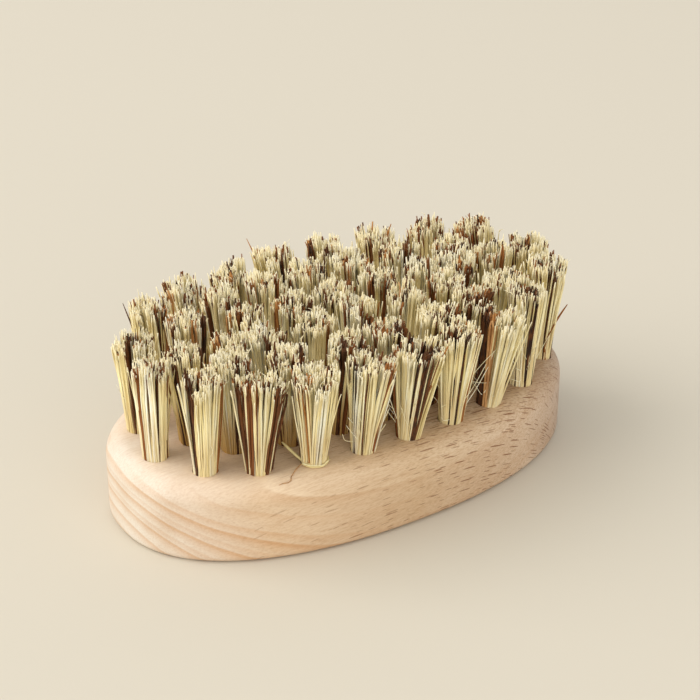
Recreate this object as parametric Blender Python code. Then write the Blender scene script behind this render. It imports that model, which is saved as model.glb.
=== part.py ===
# Oval scrubbing brush: one beech block with blind holes, and a stiff
# plant-fibre tuft folded over a flat wire anchor in every hole.
#
# Metres, +Z up. The origin is the middle of the flat back, which lies on Z = 0.
# The block's length runs along X, its width along Y, and the tufts point up.

import math
import random

import bmesh
import bpy
import numpy as np
from mathutils import Vector

# Block
block_length = 0.120
block_width = 0.067
block_thickness = 0.020
outline_power = 2.25        # 2 is a true ellipse, more is fuller at the corners
outline_points = 72
top_edge_radius = 0.0050    # the edge that the palm and the work rub round
top_edge_segments = 4
back_edge_radius = 0.0018
back_edge_segments = 2

# Holes
hole_diameter = 0.006
hole_depth = 0.014
root_clearance = 0.00031    # between a hole's wall or floor and what sits in it
cut_overshoot = 0.001       # how far the drill starts above the face

# Flat wire anchor, driven in along the grain with its ends in the wood
anchor_length = 0.0084
anchor_width = 0.0022       # its height in the hole
anchor_thickness = 0.0006

# Drilling plan: three rings inside one another, which make six even rows across
# the block. Their front holes share drill columns along X.
end_margin = 0.0064         # block end to the outer ring's centre line
side_margin = 0.0072        # block side to the outer ring's centre line
ring_columns = (7, 7, 5)    # drill columns in each ring, from the outer one in
ring_powers = (2.25, 2.4, 2.8)
outer_rest = 13             # the outer ring's other holes, evenly spaced
end_column_gap = 0.0169     # outer ring's end to its first column, along X
end_step = 0.01052          # each ring's end to the next ring's, along X
pattern_shift = 0.0016      # the pattern's centre, just right of the block's
ring_slip = 0.0015          # how far round its ring a hole off the columns is moved

outer_half_length = block_length / 2 - end_margin
outer_half_width = block_width / 2 - side_margin
row_step = 2 * outer_half_width / (2 * len(ring_columns) - 1)
column_pitch = 2 * (outer_half_length - end_column_gap) / (ring_columns[0] - 1)

# Tufts
free_length = 0.024         # from the face to a tuft's tips
tip_scatter = 0.0012        # uneven trim, up or down
parting_depth = 0.001       # below the face, where the strands part
tuft_tip_diameter = 0.0096
strand_fill = 0.62          # a strand's share of its cell at the tip
strand_rows = 3             # strands in a tuft, each way
lean_along = 0.03           # outward lean over the free length, share of X
lean_across = 0.13          # and share of Y
trim_seed = 11


def material(name, colour, roughness):
    finish = bpy.data.materials.new(name)
    finish.use_nodes = True
    shader = finish.node_tree.nodes["Principled BSDF"]
    shader.inputs["Base Color"].default_value = (*colour, 1.0)
    shader.inputs["Roughness"].default_value = roughness
    shader.inputs["Metallic"].default_value = 0.0
    return finish


def add_object(name, mesh, parent, finish):
    data = bpy.data.meshes.new(name)
    mesh.to_mesh(data)
    mesh.free()
    piece = bpy.data.objects.new(name, data)
    bpy.context.scene.collection.objects.link(piece)
    piece.parent = parent
    if finish:
        data.materials.append(finish)
    return piece


def superellipse(half_length, half_width, power, angle):
    c = math.cos(angle)
    s = math.sin(angle)
    x = half_length * math.copysign(abs(c) ** (2.0 / power), c)
    y = half_width * math.copysign(abs(s) ** (2.0 / power), s)
    return x, y


class Ring:
    """A closed superellipse that knows the distance along itself."""

    steps = 1440

    def __init__(self, half_length, half_width, power):
        self.half_length = half_length
        self.half_width = half_width
        self.power = power
        self.angles = np.linspace(0.0, 2.0 * math.pi, self.steps + 1)
        points = [superellipse(half_length, half_width, power, a) for a in self.angles]
        self.x = np.array([p[0] for p in points])
        self.y = np.array([p[1] for p in points])
        runs = np.hypot(np.diff(self.x), np.diff(self.y))
        self.distances = np.concatenate([[0.0], np.cumsum(runs)])

    def distance_at(self, x, side):
        x -= pattern_shift
        share = math.copysign((abs(x) / self.half_length) ** (self.power / 2.0), x)
        angle = math.acos(max(-1.0, min(1.0, share)))
        if side < 0:
            angle = 2.0 * math.pi - angle
        return float(np.interp(angle, self.angles, self.distances))

    def point_at(self, distance):
        distance = distance % self.distances[-1]
        x = np.interp(distance, self.distances, self.x) + pattern_shift
        y = np.interp(distance, self.distances, self.y)
        return float(x), float(y)


def columns(count):
    """X of a row's drill columns, from left to right."""
    return [pattern_shift + (k - (count - 1) / 2) * column_pitch for k in range(count)]


def outer_holes(ring, count):
    """Centres from the front row's right end round by the back, then the front row."""
    front = [ring.distance_at(x, -1) for x in columns(count)]
    lap = ring.distances[-1]
    gap = (front[0] + lap - front[-1]) / (outer_rest + 1)
    others = [front[-1] + gap * k + ring_slip for k in range(1, outer_rest + 1)]
    return [ring.point_at(station) for station in others + front]


def inner_holes(ring, count):
    """Centres from the ring's right end, by its back row and left end, to the front row."""
    places = columns(count)
    back = [ring.distance_at(x, 1) for x in reversed(places)]
    front = [ring.distance_at(x, -1) for x in places]
    half_lap = ring.distances[-1] / 2
    stations = [ring_slip, *back, half_lap + ring_slip, *front]
    return [ring.point_at(station) for station in stations]


def drilling_plan():
    """Name and centre of every hole."""
    plan = []
    for k, name in enumerate(("outer", "second", "inner")):
        half_length = outer_half_length - k * end_step
        half_width = outer_half_width - k * row_step
        ring = Ring(half_length, half_width, ring_powers[k])
        lay_out = inner_holes if k else outer_holes
        for n, centre in enumerate(lay_out(ring, ring_columns[k]), 1):
            plan.append((f"{name}_tuft_{n:02d}", centre))
    return plan


def round_grid(mesh, radius, height):
    """A grid of cells rounded into a disc."""
    made = bmesh.ops.create_grid(mesh, x_segments=strand_rows, y_segments=strand_rows, size=1.0)
    for vertex in made["verts"]:
        u, v, _ = vertex.co
        vertex.co.x = radius * u * math.sqrt(1.0 - v * v / 2.0)
        vertex.co.y = radius * v * math.sqrt(1.0 - u * u / 2.0)
        vertex.co.z = height
    return made["verts"]


def rim_edges(verts):
    edges = {edge for vertex in verts for edge in vertex.link_edges}
    return [edge for edge in edges if len(edge.link_faces) == 1]


def extrude_down(mesh, edges, height):
    made = bmesh.ops.extrude_edge_only(mesh, edges=edges)["geom"]
    for vertex in (g for g in made if isinstance(g, bmesh.types.BMVert)):
        vertex.co.z = height
    walls = [g for g in made if isinstance(g, bmesh.types.BMFace)]
    lower = [g for g in made if isinstance(g, bmesh.types.BMEdge) and len(g.link_faces) == 1]
    return walls, lower


def root_walls(mesh, top_verts, floor, grow):
    """The part of a tuft inside its hole, with the anchor's two ends.

    grow is added all round, which turns the root into the hole it sits in.
    """
    anchor_top = floor + anchor_width + 2 * grow
    _, edges = extrude_down(mesh, rim_edges(top_verts), anchor_top)
    walls, edges = extrude_down(mesh, edges, floor)
    bmesh.ops.contextual_create(mesh, geom=edges)
    reach = anchor_length / 2 + grow
    half_thickness = anchor_thickness / 2 + grow
    walls.sort(key=lambda wall: wall.calc_center_median().x)
    ends = bmesh.ops.extrude_discrete_faces(mesh, faces=[walls[0], walls[-1]])["faces"]
    for vertex in (v for end in ends for v in end.verts):
        vertex.co.x = math.copysign(reach, vertex.co.x)
        vertex.co.y = math.copysign(half_thickness, vertex.co.y)


def make_hole_cutters(plan):
    """One drill and anchor punch for each hole, as a single cutter."""
    radius = hole_diameter / 2
    floor = block_thickness - hole_depth
    drills = bmesh.new()
    for _, (x, y) in plan:
        top = round_grid(drills, radius, block_thickness + cut_overshoot)
        before = set(drills.verts) - set(top)
        root_walls(drills, top, floor, root_clearance)
        made = [vertex for vertex in drills.verts if vertex not in before]
        bmesh.ops.translate(drills, verts=made, vec=(x, y, 0.0))
    bmesh.ops.recalc_face_normals(drills, faces=drills.faces)
    return drills


def make_block():
    """The block before it is drilled."""
    mesh = bmesh.new()
    outline = []
    for k in range(outline_points):
        x, y = superellipse(
            block_length / 2, block_width / 2, outline_power, 2 * math.pi * k / outline_points
        )
        outline.append(mesh.verts.new((x, y, 0.0)))
    back = mesh.faces.new(outline)
    made = bmesh.ops.extrude_face_region(mesh, geom=[back])["geom"]
    face = [g for g in made if isinstance(g, bmesh.types.BMFace)][0]
    bmesh.ops.translate(mesh, verts=face.verts, vec=(0.0, 0.0, block_thickness))
    bmesh.ops.recalc_face_normals(mesh, faces=mesh.faces)
    edges_and_sizes = (
        (block_thickness, top_edge_radius, top_edge_segments),
        (0.0, back_edge_radius, back_edge_segments),
    )
    for height, radius, segments in edges_and_sizes:
        rim = [e for e in mesh.edges if all(abs(v.co.z - height) < 1e-6 for v in e.verts)]
        bmesh.ops.bevel(
            mesh, geom=rim, offset=radius, offset_type="OFFSET", segments=segments,
            profile=0.5, affect="EDGES", material=-1,
        )
    return mesh


def make_tuft(centre, trim):
    """One tuft about its hole's centre line, with its strands parting upwards."""
    x, y = centre
    lean = Vector((x * lean_along, y * lean_across, 0.0))
    parting = block_thickness - parting_depth
    floor = block_thickness - hole_depth + root_clearance
    spread = tuft_tip_diameter / (hole_diameter - 2 * root_clearance)
    mesh = bmesh.new()
    top = round_grid(mesh, hole_diameter / 2 - root_clearance, parting)
    cells = list(mesh.faces)
    root_walls(mesh, top, floor, 0.0)
    for tip in bmesh.ops.extrude_discrete_faces(mesh, faces=cells)["faces"]:
        middle = tip.calc_center_median()
        height = block_thickness + free_length + trim.uniform(-tip_scatter, tip_scatter)
        for vertex in tip.verts:
            offset = (vertex.co - middle) * strand_fill
            vertex.co = (middle + offset) * spread + lean
            vertex.co.z = height
    bmesh.ops.recalc_face_normals(mesh, faces=mesh.faces)
    return mesh


def main():
    for old in list(bpy.data.objects):
        bpy.data.objects.remove(old, do_unlink=True)

    beech = material("beech", (0.72, 0.52, 0.36), 0.6)
    fibre = material("union_fibre", (0.74, 0.66, 0.40), 0.7)

    brush = bpy.data.objects.new("brush", None)
    bpy.context.scene.collection.objects.link(brush)

    plan = drilling_plan()
    cutters = add_object("hole_cutters", make_hole_cutters(plan), brush, None)
    cutters.hide_render = True
    cutters.display_type = "WIRE"

    block = add_object("block", make_block(), brush, beech)
    block.data.shade_smooth()
    block.data.set_sharp_from_angle(angle=math.radians(40.0))
    drilled = block.modifiers.new("drilled", "BOOLEAN")
    drilled.operation = "DIFFERENCE"
    drilled.solver = "EXACT"
    drilled.object = cutters

    trim = random.Random(trim_seed)
    for name, centre in plan:
        tuft = add_object(name, make_tuft(centre, trim), brush, fibre)
        tuft.location = (*centre, 0.0)

    print(len(plan), "tufts,", len(plan) * strand_rows ** 2, "strands")


main()
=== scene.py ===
import math
import random

import bmesh
import bpy
from mathutils import Matrix, Vector


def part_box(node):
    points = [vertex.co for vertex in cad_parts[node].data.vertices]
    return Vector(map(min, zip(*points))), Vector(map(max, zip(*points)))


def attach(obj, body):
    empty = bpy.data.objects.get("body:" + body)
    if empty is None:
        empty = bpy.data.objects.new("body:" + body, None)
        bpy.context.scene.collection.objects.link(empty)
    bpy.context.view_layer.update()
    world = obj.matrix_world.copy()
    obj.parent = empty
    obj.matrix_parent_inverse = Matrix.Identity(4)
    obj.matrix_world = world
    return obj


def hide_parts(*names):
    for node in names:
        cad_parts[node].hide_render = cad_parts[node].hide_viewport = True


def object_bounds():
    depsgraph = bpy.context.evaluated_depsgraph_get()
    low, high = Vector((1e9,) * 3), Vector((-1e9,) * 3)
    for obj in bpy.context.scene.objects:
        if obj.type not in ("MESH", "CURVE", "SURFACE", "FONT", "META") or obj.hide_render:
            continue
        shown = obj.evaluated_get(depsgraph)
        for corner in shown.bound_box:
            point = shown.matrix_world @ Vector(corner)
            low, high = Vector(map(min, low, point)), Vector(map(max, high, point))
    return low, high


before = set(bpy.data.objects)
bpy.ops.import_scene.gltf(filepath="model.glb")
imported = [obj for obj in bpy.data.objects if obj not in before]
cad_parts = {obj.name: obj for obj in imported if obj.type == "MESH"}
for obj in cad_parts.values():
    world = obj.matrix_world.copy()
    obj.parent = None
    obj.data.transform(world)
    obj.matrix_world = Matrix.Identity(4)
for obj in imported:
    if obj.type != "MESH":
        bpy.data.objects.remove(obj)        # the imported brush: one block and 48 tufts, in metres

mm = 0.001
goldenTurn = 2.39996                     # radians, it spreads places evenly over a round bundle
cadLow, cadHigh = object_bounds()
blockLow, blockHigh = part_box("block")
faceZ = blockHigh.z                      # the drilled face
scene = bpy.context.scene
scene.view_settings.view_transform = "Standard"
print("frame loaded:", len(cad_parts), "nodes")


def tuftNodes():
    return sorted(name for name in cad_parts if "tuft" in name)


def middleOf(spots):
    xs = [spot.x for spot in spots]
    ys = [spot.y for spot in spots]
    height = sum(spot.z for spot in spots) / len(spots)
    return Vector(((min(xs) + max(xs)) / 2, (min(ys) + max(ys)) / 2, height))


def rootOf(nodeName):                    # the middle of a tuft's folded end, in its hole
    spots = [v.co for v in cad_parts[nodeName].data.vertices]
    floor = min(spot.z for spot in spots)
    return middleOf([spot for spot in spots if spot.z < floor + 0.1 * mm])


def tipsOf(nodeName):                    # the middle of its cut tips
    spots = [v.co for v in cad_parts[nodeName].data.vertices]
    return middleOf([spot for spot in spots if spot.z > faceZ + 10 * mm])


def linkPiece(name, bm, material, slotName):
    mesh = bpy.data.meshes.new(name)
    bm.to_mesh(mesh)
    bm.free()
    piece = bpy.data.objects.new(name, mesh)
    scene.collection.objects.link(piece)
    if material:
        mesh.materials.append(material)
    if slotName:
        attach(piece, "root")
    return piece


class Shading:                           # a material, and short ways to add and join its nodes
    def __init__(self, name):
        self.material = bpy.data.materials.new(name)
        self.material.use_nodes = True
        self.tree = self.material.node_tree
        self.shader = self.tree.nodes["Principled BSDF"]

    def feed(self, socket, value):
        if isinstance(value, bpy.types.NodeSocket):
            self.tree.links.new(value, socket)
        else:
            socket.default_value = value

    def add(self, kind, inputs=None, **settings):
        node = self.tree.nodes.new("ShaderNode" + kind)
        for key, value in settings.items():
            setattr(node, key, value)
        for key, value in (inputs or {}).items():
            self.feed(node.inputs[key], value)
        return node

    def math(self, operation, a, b=0.0):
        return self.add("Math", {0: a, 1: b}, operation=operation).outputs[0]

    def stretch(self, vector, scale, location=(0, 0, 0)):
        inputs = {"Vector": vector, "Scale": scale, "Location": location}
        return self.add("Mapping", inputs).outputs[0]

    def noise(self, vector, detail=2.0, roughness=0.5):
        inputs = {"Vector": vector, "Scale": 1.0, "Detail": detail, "Roughness": roughness}
        return self.add("TexNoise", inputs).outputs["Fac"]

    def span(self, value, low, high, first=0.0, last=1.0):
        inputs = {"Value": value, "From Min": low, "From Max": high,
                  "To Min": first, "To Max": last}
        return self.add("MapRange", inputs).outputs[0]

    def ramp(self, value, stops):        # stops are (place, colour) pairs
        node = self.add("ValToRGB", {"Fac": value})
        band = node.color_ramp
        while len(band.elements) < len(stops):
            band.elements.new(0.5)
        for element, (place, colour) in zip(band.elements, stops):
            element.position = place
            element.color = (*colour, 1.0)
        return node.outputs["Color"]

    def blend(self, share, first, second, mode="MIX"):
        node = self.add("Mix", data_type="RGBA", blend_type=mode)
        for key, value in (("Factor", share), ("A", first), ("B", second)):
            socket = [s for s in node.inputs if s.name == key and s.enabled][0]
            if isinstance(value, tuple):
                value = (*value, 1.0)
            self.feed(socket, value)
        return [s for s in node.outputs if s.enabled][0]

    def connect(self, value, socketName):
        self.tree.links.new(value, self.shader.inputs[socketName])


beechLook = {
    "alongBlock": (                      # colour from the left end, 0, to the right end, 1: the wood's own drift, with painted light at the pale left end and painted shade at the cool right end
        (0.0, (0.79, 0.715, 0.61)),
        (0.06, (0.79, 0.66, 0.525)),
        (0.2, (0.785, 0.595, 0.40)),
        (0.5, (0.705, 0.52, 0.33)),
        (0.8, (0.725, 0.565, 0.41)),
        (1.0, (0.585, 0.47, 0.385)),
    ),
    "cloud": (0.02, 0.11, 0.11),         # stretches of the noise behind the broad bands,
    "streak": (0.07, 2.4, 2.4),          # the fine streaks
    "poreDots": (0.8, 3.6, 3.6),         # and the pores, for each mm of X, Y and Z
    "grain": (0.80, 0.69, 0.59),         # what the streaks do to the colour
    "pore": (0.73, 0.60, 0.50),
    "sawnFace": (0.83, 0.77, 0.66),      # painted shade of the tufts on the drilled face, towards the right end
    "deeper": (0.90, 0.84, 0.78),        # what the darker bands and streaks do to it
    "paler": (1.05, 1.07, 1.09),
    "lateWood": (0.87, 0.69, 0.53),      # and each ring's dark line
    "fleck": (0.38, 0.22, 0.12),
    "fleckShare": (0.0, 0.42),           # of the cells, from the left to the middle
    "grainRun": (-0.12, 0.12),           # mm that the grain runs in Y and in Z, for each mm of X
    "grainBend": 0.0015,                 # and how it bends down again to the right
    "pith": (3.0, -27.5),                # mm, Y and Z of the tree's middle, along the block
    "rings": (                           # mm from the pith, and how dark
        (29.5, 0.7), (33.2, 0.8), (36.9, 0.9), (38.3, 0.4), (41.1, 1.0),
        (42.6, 0.35), (45.0, 1.0), (46.9, 0.5), (50.8, 0.3), (54.6, 0.5),
    ),
    "ringFade": 2.4,                     # mm over which a ring darkens to its line
    "ringWaver": 1.1,                    # mm
    "tornPatch": ((-39.0, -35.0), (-24.0, -17.0)),   # mm of X where it starts and ends
    "fleckCells": (                      # mm along the grain, along the ray and across both
        (8.8, 32.0, 0.56),
        (7.4, 27.0, 0.48),
        (5.9, 21.0, 0.42),
        (4.6, 15.0, 0.36),
    ),
    "fleckSizes": (0.6, 1.15),           # from the smallest to the largest
    "fleckReach": 0.24,                  # share of a cell
    "roughness": 0.56,
    "sheen": 0.3,
    "bump": 0.3,
}


def fromPith(s, inMm):                   # how far out from the pith, and how far round it
    reach = s.add("SeparateXYZ", {"Vector": inMm}).outputs
    back = s.math("SUBTRACT", reach["Y"], beechLook["pith"][0])
    up = s.math("SUBTRACT", reach["Z"], beechLook["pith"][1])
    out = s.math("SQRT", s.math("ADD", s.math("MULTIPLY", back, back), s.math("MULTIPLY", up, up)))
    around = s.math("MULTIPLY", s.math("ARCTAN2", back, up), 50.0)      # measured 50 mm out
    return out, around, reach


def alongGrain(s, inMm):                 # the same place, with the grain laid straight
    look = beechLook
    reach = s.add("SeparateXYZ", {"Vector": inMm}).outputs
    right = s.math("MAXIMUM", reach["X"], 0.0)
    bend = s.math("MULTIPLY", s.math("MULTIPLY", right, right), look["grainBend"])
    back = s.math("SUBTRACT", reach["Y"], s.math("MULTIPLY", reach["X"], look["grainRun"][0]))
    up = s.math("SUBTRACT", reach["Z"], s.math("MULTIPLY", reach["X"], look["grainRun"][1]))
    return s.add("CombineXYZ", {0: reach["X"], 1: back, 2: s.math("ADD", up, bend)}).outputs[0]


def growthRings(s, inMm):                # shares: dark lines, the pale edge ring, its torn patch
    look = beechLook
    out, _, reach = fromPith(s, inMm)
    waver = s.noise(s.stretch(inMm, (0.02, 0.07, 0.07)), 2.0)
    waver = s.math("MULTIPLY", s.math("SUBTRACT", waver, 0.5), look["ringWaver"])
    out = s.math("ADD", out, waver)
    least, most = 25.0, 65.0             # mm from the pith that the block takes up
    stops = [(0.0, (0, 0, 0))]
    for radius, dark in look["rings"]:
        line = ((-look["ringFade"], 0.0), (-1.0, 0.5), (-0.3, 1.0), (-0.12, 0.9), (0.12, 0.0))
        for place, share in line:
            at = (radius + place - least) / (most - least)
            if at > stops[-1][0]:
                stops.append((at, (dark * share,) * 3))
    lines = None
    for part in (stops[:24], [stops[23]] + stops[24:]):     # a ramp holds 32 stops
        level = s.ramp(s.span(out, least, most), part)
        lines = level if lines is None else s.math("MINIMUM", lines, level)
    fade = s.span(reach["X"], -36.0, -6.0, 1.0, 0.35)
    fade = s.math("MULTIPLY", fade, s.span(reach["Z"], 16.0, 19.5, 1.0, 0.0))
    edge = look["rings"][-1][0]
    pale = s.span(out, edge - 0.05, edge + 0.15)
    start, end = look["tornPatch"]
    torn = s.math("MULTIPLY", s.span(out, edge + 0.9, edge + 0.3), s.span(reach["X"], *start))
    torn = s.math("MULTIPLY", torn, s.span(reach["X"], *end, 1.0, 0.0))
    return s.math("MULTIPLY", lines, fade), pale, s.math("MULTIPLY", pale, torn)


def rayFlecks(s, inMm):                  # thin plates in the wood, cut by its surface
    look = beechLook
    out, around, reach = fromPith(s, inMm)
    place = s.add("CombineXYZ", {0: reach["X"], 1: out, 2: around}).outputs[0]
    thick = s.span(reach["X"], -44.0, 10.0, *look["fleckShare"])
    flecks = None
    for n, cell in enumerate(look["fleckCells"]):
        spots = s.stretch(place, tuple(1 / size for size in cell), (n * 7.3, n * 3.1, n * 5.7))
        dots = s.add("TexVoronoi", {"Vector": spots, "Scale": 1.0}, feature="F1")
        own = s.add("SeparateColor", {"Color": dots.outputs["Color"]}).outputs
        size = s.math("MULTIPLY", s.span(own[1], 0.0, 1.0, *look["fleckSizes"]), look["fleckReach"])
        depth = s.math("SUBTRACT", 1.0, s.math("DIVIDE", dots.outputs["Distance"], size))
        fleck = s.math("MULTIPLY", s.span(depth, 0.0, 0.09), s.math("LESS_THAN", own[0], thick))
        fleck = s.math("MULTIPLY", fleck, s.span(own[2], 0.0, 1.0, 0.6, 1.0))
        flecks = fleck if flecks is None else s.math("MAXIMUM", flecks, fleck)
    return s.math("MULTIPLY", flecks, s.span(reach["X"], -45.0, 25.0, 0.35, 1.0))


def beechWood():
    look = beechLook
    s = Shading("sandedBeech")
    inMm = s.stretch(s.add("TexCoord").outputs["Object"], (1000, 1000, 1000))
    side = s.add("SeparateXYZ", {"Vector": inMm}).outputs["X"]
    drift = s.noise(s.stretch(inMm, (0.03, 0.05, 0.05)), 1.0)
    drift = s.math("MULTIPLY", s.math("SUBTRACT", drift, 0.5), 0.12)
    place = s.math("ADD", s.span(side, -60.0, 60.0), drift)
    # the colour along the block holds painted light at the left end and painted shade at the right
    # end
    colour = s.ramp(place, look["alongBlock"])

    cloud = s.noise(s.stretch(inMm, look["cloud"]), 3.0)
    colour = s.blend(s.span(cloud, 0.42, 0.68, 0.0, 0.8), colour, look["deeper"], "MULTIPLY")
    lines, edgeRing, tornPatch = growthRings(s, inMm)
    colour = s.blend(lines, colour, look["lateWood"], "MULTIPLY")
    colour = s.blend(edgeRing, colour, look["paler"], "MULTIPLY")
    colour = s.blend(tornPatch, colour, look["paler"], "MULTIPLY")
    height = s.add("SeparateXYZ", {"Vector": inMm}).outputs["Z"]
    # painted shade: the drilled face darkens towards the right end, where the tufts shade it
    sawn = s.math("MULTIPLY", s.span(height, 15.5, 19.5), s.span(side, -30.0, 35.0))
    colour = s.blend(sawn, colour, look["sawnFace"], "MULTIPLY")
    grain = alongGrain(s, inMm)
    streaks = s.noise(s.stretch(grain, look["streak"]), 4.0, 0.6)
    fine = s.math("MULTIPLY", s.span(streaks, 0.42, 0.72), s.span(side, -50.0, 40.0, 0.4, 0.75))
    colour = s.blend(fine, colour, look["grain"], "MULTIPLY")
    pores = s.noise(s.stretch(grain, look["poreDots"]), 2.0, 0.6)
    rough = s.span(side, -50.0, 40.0, 0.35, 1.0)
    rough = s.math("MULTIPLY", rough, s.span(sawn, 0.0, 1.0, 0.6, 1.0))
    dots = s.math("MULTIPLY", s.span(pores, 0.47, 0.66), rough)
    colour = s.blend(dots, colour, look["pore"], "MULTIPLY")
    flecks = rayFlecks(s, grain)
    colour = s.blend(flecks, colour, look["fleck"], "MULTIPLY")

    s.connect(colour, "Base Color")
    s.shader.inputs["Roughness"].default_value = look["roughness"]
    s.shader.inputs["Specular IOR Level"].default_value = look["sheen"]
    relief = s.math("ADD", s.math("MULTIPLY", streaks, 0.4), s.math("MULTIPLY", pores, 0.3))
    relief = s.math("SUBTRACT", relief, s.math("MULTIPLY", flecks, 0.8))
    bump = s.add("Bump", {"Height": relief, "Strength": look["bump"], "Distance": 0.2 * mm})
    s.connect(bump.outputs["Normal"], "Normal")
    return s.material


darkFrom = 0.68                          # tones above this are brown to black fibres
paleBelow = 0.70                         # and fibres below this may fray or end brown
fibreLook = {
    "straw": (                           # by tone, 0 to 0.7
        (0.0, (0.80, 0.66, 0.28)),
        (0.14, (0.95, 0.80, 0.41)),
        (0.36, (0.99, 0.875, 0.52)),
        (0.52, (0.99, 0.925, 0.65)),
        (0.66, (0.99, 0.96, 0.79)),
    ),
    "brown": (                           # by tone, from 0.7
        (0.70, (0.66, 0.38, 0.16)),
        (0.72, (0.44, 0.19, 0.05)),
        (0.80, (0.25, 0.085, 0.022)),
        (0.88, (0.125, 0.045, 0.014)),
        (0.97, (0.04, 0.021, 0.012)),
    ),
    "cutTip": (0.95, 0.86, 0.65),        # the fresh cut's colour
    "shaded": (0.58, 0.39, 0.20),        # painted shade: what the pale colours turn to, down in the bundle
    "roughness": (0.45, 0.75),           # of the pale fibres and of the dark ones
    "sheen": 0.2,
    "streak": (5200, 5200, 240),         # stretches of the noise along a fibre, for each metre
    "mottle": (1500, 1500, 300),
    "bump": 0.4,
}


def unionFibre():
    look = fibreLook
    s = Shading("unionFibre")
    tone = s.add("Attribute", attribute_name="tone").outputs["Fac"]
    openToLight = s.add("Attribute", attribute_name="openToLight").outputs["Fac"]
    place = s.add("TexCoord").outputs["Object"]
    pale = s.ramp(tone, look["straw"])
    dark = s.ramp(tone, look["brown"])
    streaks = s.noise(s.stretch(place, look["streak"]))
    pale = s.blend(s.span(streaks, 0.4, 0.75, 0.0, 0.6), pale, look["straw"][1][1])
    # painted shade: the pale colour darkens where a fibre lies less open to light
    pale = s.blend(s.span(openToLight, 0.3, 0.74, 1.0, 0.0), pale, look["shaded"], "MULTIPLY")
    pale = s.blend(s.span(openToLight, 0.93, 1.0, 0.0, 0.6), pale, look["cutTip"])
    mottle = s.noise(s.stretch(place, look["mottle"]))
    dark = s.blend(s.span(mottle, 0.45, 0.7, 0.0, 0.6), dark, look["brown"][2][1])
    colour = s.blend(s.math("GREATER_THAN", tone, darkFrom), pale, dark)
    s.connect(colour, "Base Color")
    s.connect(s.span(tone, 0.66, 0.7, *look["roughness"]), "Roughness")
    s.shader.inputs["Specular IOR Level"].default_value = look["sheen"]
    bump = s.add("Bump", {"Height": streaks, "Strength": look["bump"], "Distance": 0.1 * mm})
    s.connect(bump.outputs["Normal"], "Normal")
    return s.material


wireLook = {
    "colour": (0.52, 0.52, 0.54),
    "dull": 0.8,                         # of that colour, along the drawn lines
    "drawn": (200, 8000, 8000),
    "roughness": 0.38,
}


def flatWireSteel():
    s = Shading("flatWireSteel")
    place = s.add("TexCoord").outputs["Object"]
    drawn = s.noise(s.stretch(place, wireLook["drawn"]))
    dull = tuple(c * wireLook["dull"] for c in wireLook["colour"])
    s.connect(s.ramp(drawn, [(0.3, dull), (0.7, wireLook["colour"])]), "Base Color")
    s.shader.inputs["Metallic"].default_value = 1.0
    s.shader.inputs["Roughness"].default_value = wireLook["roughness"]
    return s.material


beech = beechWood()
fibre = unionFibre()
wireSteel = flatWireSteel()
print("materials ready")

blockShape = {
    "power": 2.25,                       # fullness of the oval, 2 is an ellipse
    "outlinePoints": 240,
    "topRadius": 5.0 * mm,
    "topSegments": 10,
    "backRadius": 1.8 * mm,
    "backSegments": 5,
    "holeRadius": 3.0 * mm,
    "holeSides": 32,
    "holeFloor": 0.3 * mm,               # below the tufts' roots
}
anchorShape = {
    "length": 8.4 * mm,
    "width": 2.0 * mm,                   # its height in the hole
    "thickness": 0.5 * mm,
    "lift": 0.9 * mm,                    # above the roots' lowest point, over the folded fibres
    "edge": 0.12 * mm,
    "slotGap": 0.1 * mm,
}


def ovalBlank():
    shape = blockShape
    halfLength = blockHigh.x
    halfWidth = blockHigh.y
    bm = bmesh.new()
    bmesh.ops.create_circle(bm, cap_ends=True, segments=shape["outlinePoints"], radius=1.0)
    for v in bm.verts:                   # the circle is pulled out to the fuller oval
        angle = math.atan2(v.co.y, v.co.x)
        c, s = math.cos(angle), math.sin(angle)
        v.co.x = halfLength * math.copysign(abs(c) ** (2 / shape["power"]), c)
        v.co.y = halfWidth * math.copysign(abs(s) ** (2 / shape["power"]), s)
    back = list(bm.faces)
    made = bmesh.ops.extrude_face_region(bm, geom=back)["geom"]
    top = [g for g in made if isinstance(g, bmesh.types.BMVert)]
    bmesh.ops.translate(bm, verts=top, vec=(0, 0, faceZ))
    bmesh.ops.recalc_face_normals(bm, faces=bm.faces)
    for height, radius, segments in (
        (faceZ, shape["topRadius"], shape["topSegments"]),
        (0.0, shape["backRadius"], shape["backSegments"]),
    ):
        rim = [e for e in bm.edges if all(abs(v.co.z - height) < 1e-6 for v in e.verts)]
        bmesh.ops.bevel(bm, geom=rim, offset=radius, offset_type="OFFSET", segments=segments,
                        profile=0.5, affect="EDGES", material=-1)
    return bm


def drillBits():
    shape = blockShape
    bm = bmesh.new()
    for name in tuftNodes():
        root = rootOf(name)
        floor = root.z - shape["holeFloor"]
        depth = faceZ + 1 * mm - floor
        middle = Matrix.Translation((root.x, root.y, floor + depth / 2))
        bmesh.ops.create_cone(bm, cap_ends=True, segments=shape["holeSides"],
                              radius1=shape["holeRadius"], radius2=shape["holeRadius"],
                              depth=depth, matrix=middle)
    return bm


def flatWires(grow, edge):               # one flat wire across every hole, its ends in the wood
    shape = anchorShape
    bm = bmesh.new()
    size = Matrix.Diagonal((shape["length"] + 2 * grow, shape["thickness"] + 2 * grow,
                            shape["width"] + 2 * grow, 1.0))
    for name in tuftNodes():
        root = rootOf(name)
        height = root.z + shape["lift"] + shape["width"] / 2
        middle = Matrix.Translation((root.x, root.y, height))
        bmesh.ops.create_cube(bm, size=1.0, matrix=middle @ size)
    if edge:
        bmesh.ops.bevel(bm, geom=list(bm.edges), offset=edge, offset_type="OFFSET", segments=2,
                        profile=0.5, affect="EDGES", material=-1)
    return bm


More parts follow.
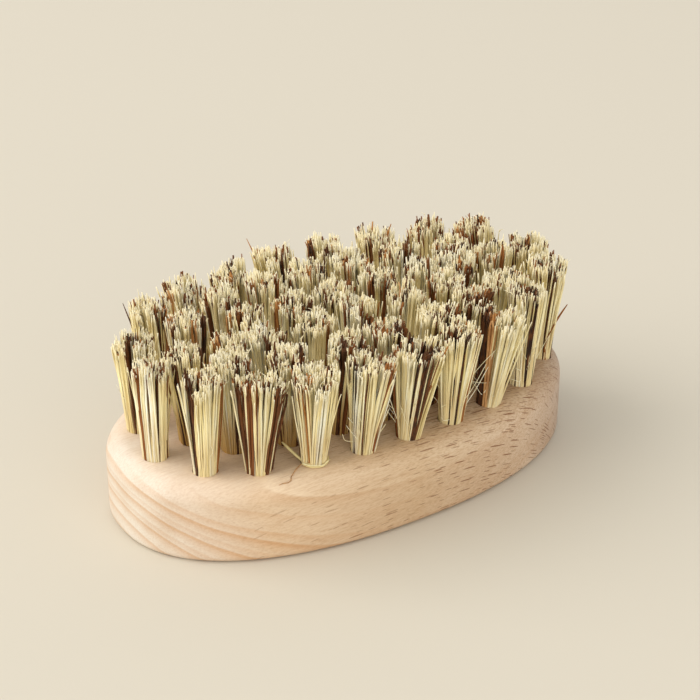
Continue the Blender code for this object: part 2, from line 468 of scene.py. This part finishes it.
def cutWith(piece, cutter):
    cut = piece.modifiers.new("cut", "BOOLEAN")
    cut.operation = "DIFFERENCE"
    cut.solver = "EXACT"
    cut.object = cutter
    graph = bpy.context.evaluated_depsgraph_get()
    done = bpy.data.meshes.new_from_object(piece.evaluated_get(graph))
    piece.modifiers.clear()
    piece.data = done
    bpy.data.objects.remove(cutter)


def makeBlock():
    block = linkPiece("beechBlock", ovalBlank(), beech, "beech")
    cutWith(block, linkPiece("drillBits", drillBits(), None, None))
    cutWith(block, linkPiece("slotPunches", flatWires(anchorShape["slotGap"], 0.0), None, None))
    block.data.shade_smooth()
    block.data.set_sharp_from_angle(angle=math.radians(35))
    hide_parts("block")
    return block


block = makeBlock()
print("block drilled:", len(block.data.polygons), "faces")
wires = linkPiece("flatWireAnchors", flatWires(0.0, anchorShape["edge"]), wireSteel, "anchor_wire")
print("anchors made:", len(tuftNodes()))

fibreShape = {
    "sides": 4,
    "count": 420,
    "slim": (0.13 * mm, 0.19 * mm),      # half thickness of most fibres
    "stout": (0.20 * mm, 0.29 * mm),
    "stoutShare": (0.35, 0.75),          # inside the bundle, and round its outside
    "dark": (0.21 * mm, 0.38 * mm),      # of most dark ones
    "mostDark": 0.7,
    "swell": (1.0, 1.0, 1.0, 1.04, 1.10, 0.95),     # up a fibre, to its tip
    "rootSpread": 2.72 * mm,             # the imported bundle's half width in the hole
    "tipSpread": {                       # and at the cut tips, by ring
        "outer": (4.7 * mm, 5.3 * mm),
        "second": (4.5 * mm, 5.1 * mm),
        "inner": (4.3 * mm, 4.9 * mm),
    },
    "clumps": 9,                         # smaller bundles that the tips gather in
    "clumpPull": 0.35,
    "clumpScatter": 0.12,
    "clumpRise": 0.75 * mm,
    "clumpTone": (0.36, 0.11),           # the usual, and how far it scatters
    "toneScatter": 0.12,                 # of a fibre, off its clump's tone
    "darkStrands": (5, 9),               # places in a tuft where a few dark fibres lie together
    "strandReach": (0.07, 0.16),
    "strandRise": (0.1 * mm, 1.0 * mm),  # of its tips above the others
    "raggedTips": 0.65 * mm,
    "oddShare": 0.07,                    # fibres much shorter or longer than the others
    "oddTips": (-2.6 * mm, 1.6 * mm),
    "roundedRim": 0.6 * mm,              # that a tuft's outer tips lie below its middle
    "rise": 0.3 * mm,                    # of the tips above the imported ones
    "highest": 2.6 * mm,                 # and the most that a tip may stand above the CAD
    "strayShare": 0.05,                  # fibres that lean out of the bundle
    "strayReach": (1.1, 1.5),
    "darkShare": 0.035,                  # away from the dark places and strands
    "darkTipShare": 0.05,                # pale fibres that end brown
    "splinterShare": 0.10,
    "splinterLength": (0.8 * mm, 2.0 * mm),
    "frontShadeAndYellow": 0.04,                 # off the tone of the fibres that face the front left: painted shade on that side, and a yellower tint
    "lean": 0.5 * mm,
    "scatter": 0.06,                     # of a fibre's place at the tips, in half widths
    "bow": 0.2 * mm,
    "wave": 0.09 * mm,
    "flare": 1.12,                       # how the bundle opens, 1 is straight out of the hole
    "foldEnd": (0.2 * mm, 0.3 * mm),     # a folded end's place under the wire, off it and up
    "foldGap": 0.25 * mm,                # from the flat wire to the fibres beside it
    "hooks": (0.07 * mm, 0.25 * mm),     # how far pale and dark tips bend aside
    "flatness": (0.65, 1.0),
    "tipTaper": (0.45, 0.75),
    "outsideFrom": 0.84,                 # of the half width, where the outside fibres start
    "outsideLevel": 0.60,                # how open to light these lie, at least, which keeps their painted shade light
}
ringHeights = (0.0, 0.075, 0.337, 0.55, 0.77, 0.94, 1.0)    # up a fibre, fold to tip
closedIn = (0.0, 0.075, 0.28, 0.40, 0.76, 0.94, 1.0)        # and how open to light they lie inside the brush, which sets their painted shade
darkPlaces = (                           # mm, where dark tips gather, and how wide each group is
    (-35, -3, 1.6), (-19, 2, 2.0), (-20, 27, 1.8), (-45, 23, 1.6), (55, 0, 2.2), (-49, 9, 1.8),
    (-44, -7, 1.6), (-47, -16, 1.3), (-36, -22, 1.8), (-11, 17, 1.5), (-24, 10, 1.8), (-24, 5, 1.5),
    (7, 21, 1.5), (12, 17, 1.6), (13, 22, 1.3), (10, 31, 1.6), (16, 33, 1.6), (17, 30, 1.3),
    (26, 32, 1.6), (41, 27, 1.6), (43, 25, 1.6), (39, 23, 1.3), (51, 20, 1.8), (53, 17, 1.5),
    (47, 3, 1.4), (58, 7, 1.6), (6, 4, 1.6), (17, 3, 1.5), (2, -9, 1.7), (-17, -6, 1.5),
    (-1, -21, 1.6), (0, -30, 1.3), (13, -29, 1.5), (19, -24, 1.7), (19, -14, 1.4), (27, -17, 1.6),
    (38, -20, 1.5), (49, -13, 1.7),
)
frontSide = Vector((-0.54, -0.84, 0.0))  # the side of a tuft that faces the front left
frontLooks = {                           # its dark streaks: place, -1 to 1, half width and tone
    "outer_tuft_11": ((-0.2, 0.06, 0.9),),
    "outer_tuft_12": ((-0.75, 0.05, 0.8), (-0.1, 0.03, 0.92), (0.38, 0.03, 0.9),
                      (0.93, 0.04, 0.86)),
    "outer_tuft_13": ((-0.62, 0.09, 0.94), (0.96, 0.06, 0.76)),
    "outer_tuft_14": ((-0.85, 0.09, 0.9), (-0.45, 0.13, 0.82), (-0.1, 0.03, 0.84),
                      (0.66, 0.13, 0.88), (0.95, 0.05, 0.92)),
    "outer_tuft_15": ((-0.98, 0.07, 0.88), (-0.72, 0.03, 0.8), (-0.3, 0.03, 0.73),
                      (0.6, 0.02, 0.84)),
    "outer_tuft_16": ((-0.75, 0.06, 0.96), (0.75, 0.04, 0.8), (-0.1, 0.02, 0.92)),
    "outer_tuft_17": ((-0.9, 0.06, 0.8), (0.2, 0.2, 0.94)),
    "outer_tuft_18": ((-0.75, 0.04, 0.86), (-0.2, 0.04, 0.98), (0.3, 0.03, 0.95),
                      (0.88, 0.06, 0.76)),
    "outer_tuft_19": ((-0.8, 0.22, 0.94), (-0.4, 0.13, 0.715)),
    "outer_tuft_20": ((-0.5, 0.07, 0.93), (-0.05, 0.06, 0.9), (0.35, 0.14, 0.98)),
    "outer_tuft_01": ((-0.55, 0.07, 0.9), (0.2, 0.05, 0.93)),
    # on the second ring these dark streaks are partly dark fibres and partly painted shade in the
    # gaps between the front tufts
    "second_tuft_09": ((-0.5, 0.06, 0.93), (0.2, 0.05, 0.86), (0.8, 0.09, 0.93)),
    "second_tuft_10": ((0.3, 0.08, 0.93), (0.8, 0.1, 0.86)),
    "second_tuft_11": ((-0.6, 0.08, 0.9), (0.6, 0.14, 0.9)),
    "second_tuft_12": ((-0.1, 0.12, 0.93), (0.3, 0.12, 0.82), (0.8, 0.14, 0.93)),
    "second_tuft_13": ((-0.5, 0.08, 0.8), (0.45, 0.14, 0.94), (0.85, 0.14, 0.86)),
    "second_tuft_14": ((0.0, 0.08, 0.9), (0.6, 0.12, 0.93), (0.9, 0.1, 0.8)),
    "second_tuft_15": ((-0.3, 0.1, 0.9), (0.5, 0.12, 0.86), (0.9, 0.12, 0.94)),
}
tuftWidths = {                           # how far some tufts' tips spread, 1 is the usual
    "outer_tuft_01": 0.92,
    "outer_tuft_12": 0.9,
    "outer_tuft_13": 0.98,
    "outer_tuft_14": 1.12,
    "outer_tuft_15": 1.15,
    "outer_tuft_16": 1.08,
    "outer_tuft_17": 1.3,
}
tuftLeans = {                            # mm that a tuft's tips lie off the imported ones
    "outer_tuft_01": (-0.8, 0.2, 1.0),
    "outer_tuft_02": (-2.0, 0.6, 0.3),
    "outer_tuft_03": (-1.6, 3.0, -0.5),
    "outer_tuft_04": (-0.5, 1.2, -0.4),
    "outer_tuft_05": (-0.5, 0.8, -0.6),
    "outer_tuft_06": (0.0, 0.3, -1.0),
    "outer_tuft_07": (-1.0, 1.0, -0.6),
    "outer_tuft_08": (0.0, 0.0, -0.8),
    "outer_tuft_11": (2.1, -1.4, 0.0),
    "outer_tuft_12": (0.9, -0.5, 0.0),
    "outer_tuft_14": (0.4, 0.0, 0.0),
    "outer_tuft_18": (0.0, 0.5, 1.0),
    "outer_tuft_20": (-0.8, 0.8, 1.2),
}


def fibrePattern(sides, spans):          # one straight fibre, a ring of corners at each whole Z
    bm = bmesh.new()
    bmesh.ops.create_circle(bm, cap_ends=True, segments=sides, radius=1.0)
    end = list(bm.faces)
    for _ in range(spans):
        made = bmesh.ops.extrude_face_region(bm, geom=end)["geom"]
        end = [g for g in made if isinstance(g, bmesh.types.BMFace)]
        corners = [g for g in made if isinstance(g, bmesh.types.BMVert)]
        bmesh.ops.translate(bm, verts=corners, vec=(0, 0, 1))
    bmesh.ops.recalc_face_normals(bm, faces=bm.faces)
    mesh = bpy.data.meshes.new("fibrePattern")
    bm.to_mesh(mesh)
    bm.free()
    return mesh


fibreRings = fibrePattern(fibreShape["sides"], len(ringHeights) - 1)
splinterRings = fibrePattern(4, 2)
hairRings = fibrePattern(4, 9)


def newFibreMesh():
    bm = bmesh.new()
    layers = {key: bm.verts.layers.float.new(key) for key in ("tone", "openToLight")}
    return bm, layers


def facing(turn):                        # a level vector, one unit long
    return Vector((math.cos(turn), math.sin(turn), 0))


def nudge(size, pick):                   # a level step at random
    return Vector((pick.gauss(0, size), pick.gauss(0, size), 0))


def addFibre(bm, layers, pattern, path, radii, flat, turn, tones, levels):
    before = len(bm.verts)
    bm.from_mesh(pattern)
    bm.verts.ensure_lookup_table()
    c, s = math.cos(turn), math.sin(turn)
    last = len(path) - 1
    frames = []
    for k in range(last + 1):            # each ring lies square to the fibre
        ahead = path[min(k + 1, last)] - path[max(k - 1, 0)]
        square = ahead.to_track_quat("Z", "Y")
        wide = square @ Vector((c, s, 0)) * radii[k]
        thin = square @ Vector((-s, c, 0)) * radii[k] * flat
        frames.append((wide, thin))
    for v in bm.verts[before:]:
        k = round(v.co.z)
        wide, thin = frames[k]
        v.co = path[k] + wide * v.co.x + thin * v.co.y
        v[layers["tone"]] = tones[k]
        v[layers["openToLight"]] = levels[k]


def darkTone(pick):                      # brown to nearly black, mostly dark brown
    return pick.choice((0.72, 0.76, 0.82, 0.86, 0.90, 0.94, 0.97)) + pick.uniform(-0.015, 0.02)


def toneOf(nodeName, spot, high, clump, strand, pick):
    toFront = spot.dot(frontSide)
    across = spot.dot(Vector((-frontSide.y, frontSide.x, 0)))
    for streak, halfWidth, tone in frontLooks.get(nodeName, ()):
        if toFront > -0.1 and abs(across - streak) < halfWidth:
            uneven = 0.015 if halfWidth < 0.15 else 0.05
            return max(0.695, tone + pick.uniform(-uneven, uneven))
    # between their streaks, the front fibres of these tufts are all pale
    front = nodeName in frontLooks and toFront > 0.35 and spot.length > 0.72
    for x, y, reach in darkPlaces:
        near = math.hypot(high.x / mm - x, high.y / mm - y) < reach * 0.65
        if near and pick.random() < 0.9 and not front:
            return darkTone(pick)
    if strand and not front:
        return strand["tone"] + pick.uniform(-0.02, 0.02)
    if pick.random() < fibreShape["darkShare"] and not front:
        return darkTone(pick)
    tone = pick.gauss(clump["tone"], fibreShape["toneScatter"])
    # painted shade, with a yellower tint, on the outer tufts' front left side
    if nodeName.startswith("outer") and toFront > 0.3 and spot.length > 0.8:
        tone -= fibreShape["frontShadeAndYellow"]
    return min(0.66, max(0.0, tone))


def layClumps(pick):                     # each with a place, a rise and a tone
    shape = fibreShape
    clumps = []
    swirl = pick.uniform(0, 2 * math.pi)
    for n in range(shape["clumps"]):
        out = math.sqrt((n + 0.4) / shape["clumps"])
        angle = n * goldenTurn + swirl
        place = facing(angle) * out + nudge(shape["clumpScatter"], pick)
        rise = pick.gauss(0, shape["clumpRise"])
        clumps.append({"place": place, "rise": rise, "tone": pick.gauss(*shape["clumpTone"])})
    return clumps


def layStrands(pick):
    strands = []
    for _ in range(pick.randint(*fibreShape["darkStrands"])):
        turn = pick.uniform(0, 2 * math.pi)
        out = math.sqrt(pick.uniform(0.05, 1))
        if pick.random() < 0.5:          # on the near side
            turn = math.atan2(frontSide.y, frontSide.x) + pick.uniform(-1.4, 1.4)
            out = pick.uniform(0.75, 1.0)
        place = facing(turn) * out
        reach = pick.uniform(*fibreShape["strandReach"])
        rise = pick.uniform(*fibreShape["strandRise"])
        strands.append({"place": place, "reach": reach, "rise": rise, "tone": darkTone(pick)})
    return strands


def bentPath(root, low, high, bow, wave):            # from the fold, up the hole and out to the tip
    shape = fibreShape
    aside, up = shape["foldEnd"]
    beside = max(abs(low.y - root.y), anchorShape["thickness"] / 2 + shape["foldGap"])
    path = []
    for k, height in enumerate(ringHeights):
        out = max(0.0, (height - ringHeights[2]) / (1 - ringHeights[2]))
        point = low.lerp(high, height)
        flare = out ** shape["flare"]
        point.x = low.x + (high.x - low.x) * flare
        point.y = low.y + (high.y - low.y) * flare
        point += bow * math.sin(math.pi * out) + wave * math.sin(3 * math.pi * out)
        if k == 0:                       # folded under the flat wire
            point.y = root.y + math.copysign(aside, low.y - root.y)
            point.z += up
        if k == 1:                       # and up beside it
            point.y = root.y + math.copysign(beside, low.y - root.y)
        path.append(point)
    return path


def makeTuft(nodeName, seed):
    shape = fibreShape
    pick = random.Random(seed)
    root = rootOf(nodeName)
    tip = tipsOf(nodeName) + nudge(shape["lean"], pick)
    tip += Vector(tuftLeans.get(nodeName, (0, 0, 0))) * mm
    tip.z += shape["rise"]
    ring = nodeName.split("_")[0]
    spreadOut = pick.uniform(*shape["tipSpread"][ring]) * tuftWidths.get(nodeName, 1.0)
    clumps = layClumps(pick)
    strands = layStrands(pick)
    swirl = pick.uniform(0, 2 * math.pi)
    bm, layers = newFibreMesh()
    for n in range(shape["count"]):
        share = math.sqrt((n + 0.5) / shape["count"])
        angle = n * goldenTurn + swirl
        spot = facing(angle) * share
        clump = min(clumps, key=lambda c: (c["place"] - spot).length)
        spread = spot.lerp(clump["place"], shape["clumpPull"]) + nudge(shape["scatter"], pick)
        stray = pick.uniform(*shape["strayReach"]) if pick.random() < shape["strayShare"] else 1.0
        low = root + spot * shape["rootSpread"]
        high = tip + spread * spreadOut * stray
        strand = next((s for s in strands if (spot - s["place"]).length < s["reach"]), None)
        high.z += clump["rise"] + pick.gauss(0, shape["raggedTips"])
        if strand:
            high.z += strand["rise"]
        if pick.random() < shape["oddShare"]:
            high.z += pick.uniform(*shape["oddTips"])
        high.z -= shape["roundedRim"] * min(1.3, spread.length * stray) ** 3
        high.z = min(high.z, cadHigh.z + shape["highest"])
        tone = toneOf(nodeName, spot, high, clump, strand, pick)
        if tone > darkFrom:              # the thick dark ones stay in the bundle
            high.x = tip.x + spread.x * spreadOut
            high.y = tip.y + spread.y * spreadOut
        bow = nudge(shape["bow"], pick)
        wave = nudge(shape["wave"], pick)
        path = bentPath(root, low, high, bow, wave)
        path[-1] += nudge(shape["hooks"][tone > darkFrom], pick)
        outside = share > shape["outsideFrom"]           # these lie side by side round the bundle
        size = "stout" if pick.random() < shape["stoutShare"][outside] else "slim"
        if tone > darkFrom and pick.random() < shape["mostDark"]:
            size = "dark"
        radius = pick.uniform(*shape[size])
        turn = angle + math.pi / 2 if outside else pick.uniform(0, math.pi)
        radii = [radius * swell for swell in shape["swell"]]
        radii.append(radius * pick.uniform(*shape["tipTaper"]))
        tones = [tone] * len(ringHeights)
        if tone < paleBelow and pick.random() < shape["darkTipShare"]:
            tones[-1] = pick.uniform(0.9, 1.0)
        # how open to light each ring of a fibre lies, which sets its painted shade
        levels = ringHeights if ring == "outer" else closedIn
        if outside and ring == "outer":  # these stand in the open, with lighter painted shade
            levels = [max(height, shape["outsideLevel"]) for height in ringHeights]
        flat = pick.uniform(*shape["flatness"])
        addFibre(bm, layers, fibreRings, path, radii, flat, turn, tones, levels)
        if tone < paleBelow and pick.random() < shape["splinterShare"]:
            addSplinter(bm, layers, path, radius, tone, pick)
    pieceName = "fibres" + ring.capitalize() + nodeName.split("_")[2]
    piece = linkPiece(pieceName, bm, fibre, "union_fibre")
    piece.data.shade_smooth()
    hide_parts(nodeName)
    return piece


def addSplinter(bm, layers, path, radius, tone, pick):   # a frayed end beside the tip
    start = path[-2].lerp(path[-1], pick.uniform(0.2, 0.9))
    turn = pick.uniform(0, 2 * math.pi)
    out = facing(turn)
    length = pick.uniform(*fibreShape["splinterLength"])
    middle = start + out * length * 0.3 + Vector((0, 0, length * 0.5))
    end = middle + out * length * pick.uniform(0.1, 0.6)
    end.z += length * pick.uniform(0.0, 0.6)
    thin = radius * pick.uniform(0.35, 0.55)
    addFibre(bm, layers, splinterRings, [start, middle, end], [thin, thin, thin * 0.5], 0.8, turn,
             [tone] * 3, (0.97, 0.99, 1.0))


tufts = [makeTuft(name, 100 + k) for k, name in enumerate(tuftNodes())]
print("tufts made:", len(tufts), "pieces,", sum(len(t.data.polygons) for t in tufts), "faces")

looseFibres = {                          # single fibres: tone, then half thickness and route in mm
    "leftSplinter": (0.04, 0.52, (
        (-24.6, -25.4, 18.6), (-25.6, -24.3, 20.7), (-27.2, -22.4, 22.7), (-28.9, -20.4, 25.0))),
    "collar": (0.08, 0.3, (
        (-26.2, -24.6, 20.6), (-25.3, -26.3, 20.4), (-23.8, -27.3, 20.3),
        (-22.2, -27.5, 20.35), (-20.7, -26.7, 20.5), (-19.8, -25.5, 21.0))),
    "collarTwist": (0.4, 0.15, (
        (-26.6, -25.4, 21.2), (-25.5, -26.6, 20.9), (-24.2, -27.5, 20.9),
        (-22.6, -27.6, 20.5), (-21.2, -27.3, 20.9), (-19.9, -26.7, 20.7))),
    "curl": (0.71, 0.13, (
        (-25.0, -23.6, 20.9), (-26.0, -24.1, 20.2), (-27.8, -25.0, 20.15),
        (-29.1, -26.0, 20.1), (-30.6, -27.0, 19.7), (-31.2, -27.8, 19.1),
        (-32.6, -27.4, 19.1), (-33.8, -27.2, 18.9))),
    "rightLean": (0.77, 0.27, (
        (50.4, -15.0, 12.0), (50.2, -15.2, 20.0), (49.4, -15.9, 24.7), (50.6, -16.9, 29.4),
        (52.2, -17.4, 32.5), (54.3, -17.6, 35.1))),
    "backLeft": (0.93, 0.24, (
        (-40.2, 19.9, 14.0), (-40.6, 20.4, 22.0), (-43.0, 22.6, 37.0), (-44.9, 24.0, 45.2))),
    "backOrange": (0.72, 0.25, (
        (0.4, 28.4, 14.0), (0.3, 29.0, 22.0), (-2.0, 34.0, 38.0), (-4.0, 37.2, 46.0))),
    "paleSplinter": (0.5, 0.34, (
        (-9.2, -27.6, 14.0), (-9.0, -28.1, 21.0), (-6.4, -28.9, 31.0), (-4.6, -29.6, 38.0))),
}
tangle = {                               # short curled bits at the collar, in mm
    "middle": (-25.1, -26.0, 21.1),
    "reach": 0.8,
    "count": 9,
    "radius": (0.08, 0.17),
    "tones": (0.12, 0.3, 0.5, 0.71),
}
hairs = {                                # fine pale hairs between neighbouring tufts, in mm
    "tufts": tuple(f"outer_tuft_{n}" for n in ("16", "17", "18", "19", "20", "02")),
    "many": 14,                          # on each of these, and on the others one of the few
    "few": (0, 1, 1, 2, 3),
    "start": (1.5, 2.4),                 # out from the tuft's middle
    "height": (0.4, 8.0),                # above the face
    "rise": (1.0, 14.0),
    "reach": (1.0, 4.0),
    "aside": (2.0, 3.4),                 # along X, on the others and on these
    "across": 1.2,                       # and along Y
    "bend": 0.5,
    "radius": (0.07, 0.12),
    "tones": (0.45, 0.66),
}


def smoothRoute(points, count):          # a smooth curve through the points, in even steps
    spots = [Vector(p) * mm for p in points]
    spots = [spots[0] * 2 - spots[1]] + spots + [spots[-1] * 2 - spots[-2]]
    route = []
    for n in range(count):
        place = n / (count - 1) * (len(points) - 1)
        k = min(int(place), len(points) - 2)
        t = place - k
        a, b, c, d = spots[k:k + 4]
        route.append(0.5 * (2 * b + (c - a) * t + (2 * a - 5 * b + 4 * c - d) * t ** 2
                            + (3 * b - a - 3 * c + d) * t ** 3))
    return route


def hairRoute(root, hairy, pick):
    turn = pick.uniform(0, 2 * math.pi)
    if hairy:                            # most stand out on the front side
        turn = math.atan2(frontSide.y, frontSide.x) + pick.gauss(0, 0.9)
    out = facing(turn)
    low = root + out * pick.uniform(*hairs["start"]) * mm
    low.z = faceZ + pick.uniform(*hairs["height"]) * mm
    side = Vector((pick.gauss(0, hairs["aside"][hairy]), pick.gauss(0, hairs["across"]), 0)) * mm
    rise = Vector((0, 0, pick.uniform(*hairs["rise"]) * mm))
    high = low + out * pick.uniform(*hairs["reach"]) * mm + rise + side
    bend = Vector([pick.gauss(0, hairs["bend"]) for _ in range(3)]) * mm
    middle = low.lerp(high, 0.5) + bend
    return [low / mm, middle / mm, high / mm]


def makeLooseFibres():
    bm, layers = newFibreMesh()
    count = 10                           # rings in a loose fibre
    levels = [0.93] * count              # they lie open, with no painted shade
    for tone, radius, points in looseFibres.values():
        path = smoothRoute(points, count)
        radii = [radius * mm] * (count - 2) + [radius * 0.85 * mm, radius * 0.4 * mm]
        addFibre(bm, layers, hairRings, path, radii, 0.7, 0.4, [tone] * count, levels)
    pick = random.Random(7)
    for _ in range(tangle["count"]):
        route = []
        for _ in range(4):
            route.append([m + pick.uniform(-1, 1) * tangle["reach"] for m in tangle["middle"]])
        path = smoothRoute(route, count)
        radii = [pick.uniform(*tangle["radius"]) * mm] * count
        tone = pick.choice(tangle["tones"])
        addFibre(bm, layers, hairRings, path, radii, 0.7, 0.0, [tone] * count, levels)
    for name in tuftNodes():
        root = rootOf(name)
        hairy = name in hairs["tufts"]
        for _ in range(hairs["many"] if hairy else pick.choice(hairs["few"])):
            path = smoothRoute(hairRoute(root, hairy, pick), count)
            radius = pick.uniform(*hairs["radius"]) * mm
            radii = [radius] * (count - 1) + [radius * 0.5]
            tone = pick.uniform(*hairs["tones"])
            addFibre(bm, layers, hairRings, path, radii, 0.8, 0.0, [tone] * count, levels)
    piece = linkPiece("looseFibres", bm, fibre, "union_fibre")
    piece.data.shade_smooth()
    return piece


loose = makeLooseFibres()
print("loose fibres made:", len(loose.data.polygons), "faces")

cameraView = {
    "place": (-0.2109, -0.3306, 0.2466),
    "direction": (0.4750, 0.7358, -0.4827),
    "lens": 96.6,
}
lightPlan = {
    "world": ((0.98, 0.975, 0.96), 0.74),
    "key": {
        "place": (-2.13, 0.95, 1.89),
        "size": 3.2,
        "power": 80.0,
        "colour": (1.0, 0.98, 0.95),
    },
    "fill": {
        "place": (-0.49, -2.30, 0.86),
        "size": 2.5,
        "power": 19.5,
        "colour": (0.96, 0.98, 1.0),
    },
}
floorLook = {"colour": (0.645, 0.59, 0.485), "roughness": 0.9, "size": 6.0}


def setCamera():
    data = bpy.data.cameras.new("camera")
    data.lens = cameraView["lens"]
    data.clip_start = 0.01
    camera = bpy.data.objects.new("camera", data)
    scene.collection.objects.link(camera)
    camera.location = cameraView["place"]
    camera.rotation_euler = Vector(cameraView["direction"]).to_track_quat("-Z", "Y").to_euler()
    scene.camera = camera


def setLights():
    colour, strength = lightPlan["world"]
    world = bpy.data.worlds.new("studio")
    world.use_nodes = True
    world.node_tree.nodes["Background"].inputs["Color"].default_value = (*colour, 1.0)
    world.node_tree.nodes["Background"].inputs["Strength"].default_value = strength
    scene.world = world
    for name in ("key", "fill"):
        plan = lightPlan[name]
        lamp = bpy.data.lights.new(name, "AREA")
        lamp.size = plan["size"]
        lamp.energy = plan["power"]
        lamp.color = plan["colour"]
        holder = bpy.data.objects.new(name, lamp)
        scene.collection.objects.link(holder)
        holder.location = plan["place"]
        holder.rotation_euler = (-Vector(plan["place"])).to_track_quat("-Z", "Y").to_euler()


def layFloor():
    bm = bmesh.new()
    bmesh.ops.create_grid(bm, x_segments=1, y_segments=1, size=floorLook["size"] / 2)
    s = Shading("paleFloor")
    s.shader.inputs["Base Color"].default_value = (*floorLook["colour"], 1.0)
    s.shader.inputs["Roughness"].default_value = floorLook["roughness"]
    floor = linkPiece("floor", bm, s.material, None)


setCamera()
setLights()
layFloor()
print("camera, light and floor ready")
